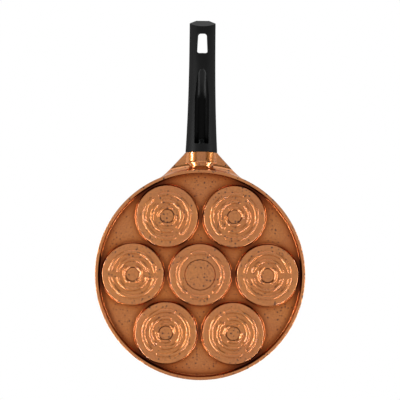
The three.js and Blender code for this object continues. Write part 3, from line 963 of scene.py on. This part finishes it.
def coated_aluminium():
    """Cast aluminium under a sprayed, copper-coloured coat: warm, satin, with dark flecks and painted shade
    in hollows and crevices.
    """
    f = finishes()
    m = new_material("sprayed non-stick coat on cast aluminium")
    place = node(m, "ShaderNodeTexCoord").outputs["Object"]
    tone = blend(m, noise(m, place, COAT_DRIFT, 3), linear(f.coat_red), linear(f.coat))
    stain = remap(m, noise(m, place, COAT_STAIN, 2), STAIN_RANGE, (0, STAIN_MOST))
    tone = blend(m, stain, tone, linear(f.coat_dark))
    for size, share in FLECK_CELLS:
        links = [("Vector", place), ("Scale", 1 / size), ("Randomness", 1)]
        cells = node(m, "ShaderNodeTexVoronoi", links)
        pick = node(m, "ShaderNodeSeparateColor", [(0, cells.outputs["Color"])]).outputs[0]
        reach = remap(m, pick, (1 - share, 1 - share / 2), (0, FLECK_REACH))
        inside = maths(m, "SUBTRACT", reach, cells.outputs["Distance"])
        tone = blend(m, remap(m, inside, (0, FLECK_EDGE)), tone, linear(f.fleck))
    # Painted shade: ambient occlusion darkens the coat in hollows and, darker still, in narrow crevices, and
    # thins the clear coat there; it stops at the body's edge.
    links = [(0, place), (1, (1, 1, 0)), (2, (0, -PAN_Y, 0))]
    plan = node(m, "ShaderNodeVectorMath", links, operation="MULTIPLY_ADD").outputs[0]
    from_axis = node(m, "ShaderNodeVectorMath", [(0, plan)], operation="LENGTH").outputs["Value"]
    edge = levels()["body"]
    outside = remap(m, from_axis, (edge - SHADE_EDGE, edge + SHADE_EDGE))
    opens = []
    for code, (distance, darkest_below, unshaded_above) in ((f.hollow_shade, HOLLOW_SHADE_AO), (f.crevice_shade, CREVICE_SHADE_AO)):
        nearby = node(m, "ShaderNodeAmbientOcclusion", [("Distance", distance)], samples=SHADE_SAMPLES)
        opens.append(maths(m, "MAXIMUM", nearby.outputs["AO"], outside))
        shaded = remap(m, opens[-1], (darkest_below, unshaded_above), (SHADE_MOST, 0))
        tone = blend(m, shaded, tone, linear(code))
    peel = noise(m, place, COAT_PEEL, 2)
    links = [("Height", peel), ("Strength", 0.02), ("Distance", COAT_PEEL_HEIGHT)]
    bump = node(m, "ShaderNodeBump", links)
    return surface(
        m,
        [
            ("Base Color", tone),
            ("Roughness", remap(m, peel, after=(0.23, 0.25))),
            ("Metallic", 0.85),
            ("Coat Weight", remap(m, opens[0], (CLEAR_FROM, 1), (0, CLEAR_MOST))),
            ("Coat Roughness", 0.13),
            ("Coat IOR", 1.7),
            ("Normal", bump.outputs[0]),
        ],
    )


def phenolic():
    """Compression-moulded phenolic resin: near black, satin, with a faint mould texture."""
    f = finishes()
    m = new_material("moulded black phenolic resin")
    place = node(m, "ShaderNodeTexCoord").outputs["Object"]
    cloud = noise(m, place, RESIN_CLOUD, 3)
    grit = noise(m, place, RESIN_GRIT, 2)
    links = [("Height", grit), ("Strength", 0.2), ("Distance", RESIN_GRIT_HEIGHT)]
    bump = node(m, "ShaderNodeBump", links)
    return surface(
        m,
        [
            ("Base Color", blend(m, cloud, linear(f.resin), linear(f.resin_pale))),
            ("Roughness", remap(m, cloud, after=(0.38, 0.48))),
            ("IOR", 1.55),
            ("Specular IOR Level", 0.12),
            ("Normal", bump.outputs[0]),
        ],
    )


def zinc_steel():
    """Turned steel under black zinc: near black, partly as painted shade for the channel it sits in, with a
    slightly uneven gloss.
    """
    f = finishes()
    m = new_material("black zinc plating on turned steel")
    place = node(m, "ShaderNodeTexCoord").outputs["Object"]
    cloud = noise(m, place, ZINC_CLOUD, 3)
    return surface(
        m,
        [
            ("Base Color", blend(m, cloud, linear(f.zinc), linear(f.zinc_dull))),
            ("Roughness", remap(m, cloud, after=(0.28, 0.45))),
            ("Metallic", 1),
        ],
    )


# Studio


def white_world(scene):
    """White where it is seen, straight or mirrored, and a low even light elsewhere."""
    world = bpy.data.worlds.new("studio")
    world.use_nodes = True
    world.node_tree.nodes.clear()
    scene.world = world
    path = node(world, "ShaderNodeLightPath")
    seen = path.outputs["Is Camera Ray"]
    for ray in ("Is Glossy Ray", "Is Transmission Ray"):
        seen = maths(world, "MAXIMUM", seen, path.outputs[ray])
    level = remap(world, seen, after=(EVEN_LIGHT, 1))
    sky = node(world, "ShaderNodeBackground", [("Color", (1, 1, 1, 1)), ("Strength", level)])
    node(world, "ShaderNodeOutputWorld", [("Surface", sky.outputs[0])])


def studio_paper():
    """Matt white paper that is seen from above and lets a view from below through."""
    m = new_material("matt white studio paper")
    under = node(m, "ShaderNodeNewGeometry").outputs["Backfacing"]
    paper = node(m, "ShaderNodeBsdfPrincipled", [("Base Color", linear(PAPER)), ("Roughness", MATT)])
    clear = node(m, "ShaderNodeBsdfTransparent")
    links = [(0, under), (1, paper.outputs[0]), (2, clear.outputs[0])]
    return surface(m, links, "ShaderNodeMixShader")


def dark_ground():
    """Dark ground of the studio behind the camera, which the flat undersides mirror."""
    m = new_material("dark matt studio ground")
    return surface(m, [("Base Color", linear(GROUND)), ("Roughness", MATT)])


def sheet(name, size, height, material):
    """A level square of the studio."""
    bm = bmesh.new()
    bmesh.ops.create_grid(bm, x_segments=1, y_segments=1, size=size / 2)
    made = solid(name, bm, Matrix.Translation((0, 0, height)))
    made.data.materials.append(material)
    return made


def photo_camera(scene):
    """The photograph's camera, with the handle at the top of the picture."""
    lens = bpy.data.cameras.new("camera")
    lens.sensor_width = SENSOR
    lens.lens = SENSOR * FOCAL_PIXELS / PHOTO_PIXELS
    camera = bpy.data.objects.new("camera", lens)
    scene.collection.objects.link(camera)
    right = Vector((-cos(CAMERA_ROLL), sin(CAMERA_ROLL), 0))
    up = Vector((sin(CAMERA_ROLL), cos(CAMERA_ROLL), 0))
    turn = Matrix((right, up, right.cross(up))).transposed().to_4x4()
    camera.matrix_world = Matrix.Translation(CAMERA_PLACE) @ turn
    scene.camera = camera


def soft_box(scene, name, place, size, watts):
    lamp = bpy.data.lights.new(name, "AREA")
    lamp.energy = watts
    lamp.shape = "RECTANGLE"
    lamp.size, lamp.size_y = size
    holder = bpy.data.objects.new(name, lamp)
    holder.location = place
    aim = Vector((0, PAN_Y, 0)) - holder.location
    holder.rotation_mode = "QUATERNION"
    holder.rotation_quaternion = aim.to_track_quat("-Z", "Y")
    holder.visible_camera = False
    scene.collection.objects.link(holder)


# Operators


class PAN_OT_body(bpy.types.Operator):
    """Builds the cast body: shell, moulds, rings, neck and boss"""

    bl_idname = "pan.body"
    bl_label = "Pan Body"

    def execute(self, context):
        at = levels()
        outer = [(at["pitch"] * cos(a), at["pitch"] * sin(a)) for a in OUTER_AZIMUTHS]
        body = solid("cast_body", shell(at))
        combine(body, repeated(pad(at, OUTER_LINE), outer), "UNION")
        combine(body, pad(at, MIDDLE_LINE), "UNION")
        combine(body, repeated(hollow(at), [(0, 0)] + outer), "DIFFERENCE")
        combine(body, rings(at, 0, at["foot"]), "UNION")
        combine(body, rings(at, at["floor"] - sizes().print_depth, at["floor"]), "DIFFERENCE")
        neck = solid("neck", bridge(at))
        combine(neck, root(at), "UNION")
        combine(neck, rib(), "UNION", handle_place())
        combine(neck, boss(), "UNION", handle_place())
        mid_skirt = (at["skirt_inner"] + at["body"]) / 2
        combine(neck, drum(mid_skirt, 0, CLEAR_TOP, BODY_FACETS), "DIFFERENCE")
        spigot = block(SPIGOT_WIDTH, (-BOSS_LENGTH / 2, SPIGOT_LENGTH), -SPIGOT_HEIGHT / 2, SPIGOT_HEIGHT / 2)
        ease_sharp(spigot, degrees=40, width=CAST_EDGE, segments=2)
        combine(neck, spigot, "UNION", handle_place())
        combine(body, taken(neck), "UNION")
        bore = drum(BORE, *BODY_BORE, BORE_FACETS)
        combine(body, bore, "DIFFERENCE", handle_place() @ ALONG_HANDLE)
        body.data.transform(Matrix.Translation((0, PAN_Y, 0)))
        smooth(body, CAST_SHARP)
        seat(body, coated_aluminium(), "coated_aluminium", "pan_body")
        return {"FINISHED"}


class PAN_OT_handle(bpy.types.Operator):
    """Builds the moulded handle with its hanging hole and screw channel"""

    bl_idname = "pan.handle"
    bl_label = "Handle"

    def execute(self, context):
        grip = solid("moulded_handle", handle_blank())
        combine(grip, screw_channel(), "DIFFERENCE")
        combine(grip, hanging_hole(), "DIFFERENCE")
        pocket = block(
            SPIGOT_WIDTH + 2 * FIT,
            (-SPIGOT_LENGTH, SPIGOT_LENGTH + FIT),
            -SPIGOT_HEIGHT / 2 - FIT,
            SPIGOT_HEIGHT / 2 + FIT,
        )
        combine(grip, pocket, "DIFFERENCE")
        bore = drum(BORE, *HANDLE_BORE, BORE_FACETS)
        combine(grip, bore, "DIFFERENCE", ALONG_HANDLE)
        grip.data.transform(Matrix.Translation((0, PAN_Y, 0)) @ handle_place())
        smooth(grip, RESIN_SHARP)
        seat(grip, phenolic(), "phenolic", "handle")
        return {"FINISHED"}


class PAN_OT_fasteners(bpy.types.Operator):
    """Finishes the screw and its two washers"""

    bl_idname = "pan.fasteners"
    bl_label = "Screw and Washers"

    def execute(self, context):
        plating = zinc_steel()
        place = Matrix.Translation((0, PAN_Y, 0)) @ handle_place()
        screw = solid("pan_head_screw", pan_head_screw(), ALONG_HANDLE)
        depth = (HEAD_TO - RECESS_DEPTH, HEAD_TO + RECESS_DEPTH)
        for width, height in ((RECESS_WIDTH, RECESS_SPAN), (RECESS_SPAN, RECESS_WIDTH)):
            combine(screw, block(width, depth, -height / 2, height / 2), "DIFFERENCE")
        flat = solid("punched_washer", washer(), ALONG_HANDLE)
        split = solid("split_washer", split_ring(), ALONG_HANDLE)
        for piece, name in ((screw, "handle_screw"), (flat, "flat_washer"), (split, "spring_washer")):
            piece.data.transform(place)
            smooth(piece, STEEL_SHARP)
            seat(piece, plating, "zinc_steel", name)
        return {"FINISHED"}


class PAN_OT_stage(bpy.types.Operator):
    """Sets up the camera, the lamps, the world and the floor"""

    bl_idname = "pan.stage"
    bl_label = "Stage"

    def execute(self, context):
        scene = context.scene
        scene.view_settings.view_transform = "Standard"
        photo_camera(scene)
        for lamp in LAMPS:
            soft_box(scene, *lamp)
        white_world(scene)
        floor = sheet("floor", PAPER_SIZE, 0, studio_paper())
        floor.visible_shadow = False
        floor.visible_diffuse = False
        floor.visible_glossy = False
        floor.visible_transmission = False
        ground = sheet("dark_ground", GROUND_SIZE, GROUND_HEIGHT, dark_ground())
        ground.visible_camera = False
        return {"FINISHED"}


STEPS = (PAN_OT_body, PAN_OT_handle, PAN_OT_fasteners, PAN_OT_stage)


class PAN_PT_sidebar(bpy.types.Panel):
    """Lists the sizes and the steps that build the pan"""

    bl_idname = "PAN_PT_sidebar"
    bl_label = "Pancake Pan"
    bl_space_type = "VIEW_3D"
    bl_region_type = "UI"
    bl_category = "Pan"

    def draw(self, context):
        for group in (sizes(), handle_sizes(), finishes()):
            for name in group.__annotations__:
                self.layout.prop(group, name)
        for step in STEPS:
            self.layout.operator(step.bl_idname)


CLASSES = (PanSizes, HandleSizes, PanFinishes, *STEPS, PAN_PT_sidebar)


def register():
    for cls in CLASSES:
        bpy.utils.register_class(cls)
    bpy.types.Scene.pan_sizes = PointerProperty(type=PanSizes)
    bpy.types.Scene.pan_handle = PointerProperty(type=HandleSizes)
    bpy.types.Scene.pan_finishes = PointerProperty(type=PanFinishes)


def unregister():
    for name in ("pan_sizes", "pan_handle", "pan_finishes"):
        delattr(bpy.types.Scene, name)
    for cls in reversed(CLASSES):
        bpy.utils.unregister_class(cls)


def main():
    register()
    bpy.ops.pan.body()
    bpy.ops.pan.handle()
    bpy.ops.pan.fasteners()
    bpy.ops.pan.stage()


if __name__ == "__main__":
    main()
